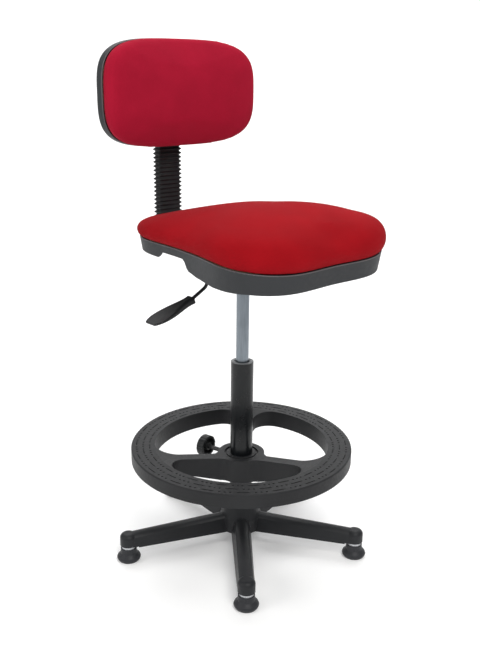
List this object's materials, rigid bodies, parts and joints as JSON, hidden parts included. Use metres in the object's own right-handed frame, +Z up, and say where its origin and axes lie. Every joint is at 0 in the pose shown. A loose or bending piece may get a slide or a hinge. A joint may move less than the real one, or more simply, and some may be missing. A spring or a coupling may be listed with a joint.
{
  "type": "drafting chair",
  "caption": "Tall drafting chair with a star base on glides, a gas lift, a dished foot ring, a crimson padded seat and a small backrest on a pleated upright.",
  "frame": {"origin": "on the floor under the column's axis, in the middle of the circle of glides", "axes": "+Z up along the column, -Y the way the sitter faces, -X the sitter's right hand, where the release lever is"},
  "size_m": [0.5568, 0.5655, 1.103],
  "materials": {
    "plastic_dark": "satin moulded nylon, near black",
    "ring_plastic": "satin moulded nylon, charcoal",
    "shell_plastic": "finely grained polypropylene, dark grey",
    "knob_plastic": "polished black nylon",
    "paddle_plastic": "satin moulded grip, charcoal",
    "glide_plastic": "satin nylon, near black",
    "guide_plastic": "plain acetal, light grey",
    "tube_paint": "gloss black powder coat",
    "bracket_paint": "satin black powder coat",
    "bright_steel": "ground and zinc plated",
    "cylinder_steel": "burnished grey steel",
    "bearing_steel": "hardened and polished",
    "cage_brass": "pressed sheet",
    "buffer_rubber": "soft black rubber",
    "bellows_rubber": "thin pleated black rubber",
    "plywood": "bare birch plywood",
    "seat_fabric": "woven crimson upholstery over moulded foam"
  },
  "bodies": {
    "base": {"star_base": "plastic_dark", "glide_1": "glide_plastic", "glide_2": "glide_plastic", "glide_3": "glide_plastic", "glide_4": "glide_plastic", "glide_5": "glide_plastic", "glide_stem_1": "bright_steel", "glide_stem_2": "bright_steel", "glide_stem_3": "bright_steel", "glide_stem_4": "bright_steel", "glide_stem_5": "bright_steel", "column_tube": "tube_paint", "guide_sleeve": "guide_plastic", "lower_race": "bearing_steel"},
    "ball_race": {"bearing_balls": "bearing_steel", "ball_cage": "cage_brass"},
    "swivel_rod": {"piston_rod": "bright_steel", "piston": "bright_steel", "retaining_clip": "bright_steel", "upper_race": "bearing_steel", "rubber_buffer": "buffer_rubber"},
    "seat": {"gas_cylinder": "cylinder_steel", "rod_guide": "guide_plastic", "valve_block": "guide_plastic", "taper_socket": "bracket_paint", "mechanism_box": "bracket_paint", "mounting_plate": "bracket_paint", "bar_sleeve": "bracket_paint", "lever_bracket": "bracket_paint", "lever_pin": "bright_steel", "seat_shell": "shell_plastic", "seat_board": "plywood", "seat_cushion": "seat_fabric", "seat_bolts": "bright_steel"},
    "valve_pin": {"release_pin": "bright_steel"},
    "lever": {"release_lever": "bracket_paint", "lever_paddle": "paddle_plastic"},
    "bush": {"ring_bush": "ring_plastic"},
    "ring": {"foot_ring": "ring_plastic"},
    "ring_clamp": {"ring_knob": "knob_plastic", "ring_screw": "bracket_paint"},
    "bar": {"back_bar": "bracket_paint", "bellows": "bellows_rubber"},
    "depth_clamp": {"depth_knob": "knob_plastic", "depth_screw": "bright_steel"},
    "backrest": {"back_shell": "shell_plastic", "back_board": "plywood", "back_cushion": "seat_fabric", "back_bracket": "bracket_paint", "back_screws": "bright_steel"},
    "height_clamp": {"height_knob": "knob_plastic", "height_screw": "bright_steel"}
  },
  "joints": [
    {"name": "seat_swivel", "type": "hinge", "parent": "base", "child": "swivel_rod", "pos_m": [0, 0, 0.1], "axis": [0, 0, 1], "continuous": true},
    {"name": "ball_roll", "type": "hinge", "parent": "base", "child": "ball_race", "pos_m": [0, 0, 0.032], "axis": [0, 0, 1], "continuous": true},
    {"name": "gas_lift", "type": "slide", "parent": "swivel_rod", "child": "seat", "axis": [0, 0, 1], "range_m": [-0.185, 0]},
    {"name": "lever_pull", "type": "hinge", "parent": "seat", "child": "lever", "pos_m": [-0.04, 0, 0.67768], "axis": [0, 1, 0], "range_deg": [0, 6], "stiffness_Nm_per_rad": 12, "springref_deg": -1.72},
    {"name": "valve_press", "type": "slide", "parent": "seat", "child": "valve_pin", "axis": [0, 0, 1], "range_m": [-0.0044, 0]},
    {"name": "ring_height", "type": "slide", "parent": "base", "child": "bush", "axis": [0, 0, 1], "range_m": [-0.06, 0.12]},
    {"name": "ring_turn", "type": "hinge", "parent": "bush", "child": "ring", "pos_m": [0, 0, 0.2], "axis": [0, 0, 1], "continuous": true},
    {"name": "ring_knob_turn", "type": "hinge", "parent": "ring", "child": "ring_clamp", "pos_m": [0, 0, 0.208], "axis": [-0.2079, 0.9781, 0], "range_deg": [-540, 0]},
    {"name": "back_depth", "type": "slide", "parent": "seat", "child": "bar", "axis": [0, 1, 0], "range_m": [-0.03, 0.03]},
    {"name": "depth_knob_turn", "type": "hinge", "parent": "seat", "child": "depth_clamp", "pos_m": [0, 0.118, 0.66], "axis": [0, 0, -1], "range_deg": [-540, 0]},
    {"name": "back_height", "type": "slide", "parent": "bar", "child": "backrest", "axis": [0, 0, 1], "range_m": [-0.03, 0.03], "deforming": ["bellows"]},
    {"name": "height_knob_turn", "type": "hinge", "parent": "backrest", "child": "height_clamp", "pos_m": [0, 0.27, 0.95], "axis": [0, 1, 0], "range_deg": [-540, 0]}
  ],
  "couplings": [
    {"joint": "ball_roll", "follows": "seat_swivel", "ratio": 0.5},
    {"joint": "valve_press", "follows": "lever_pull", "m_per_rad": -0.042}
  ]
}
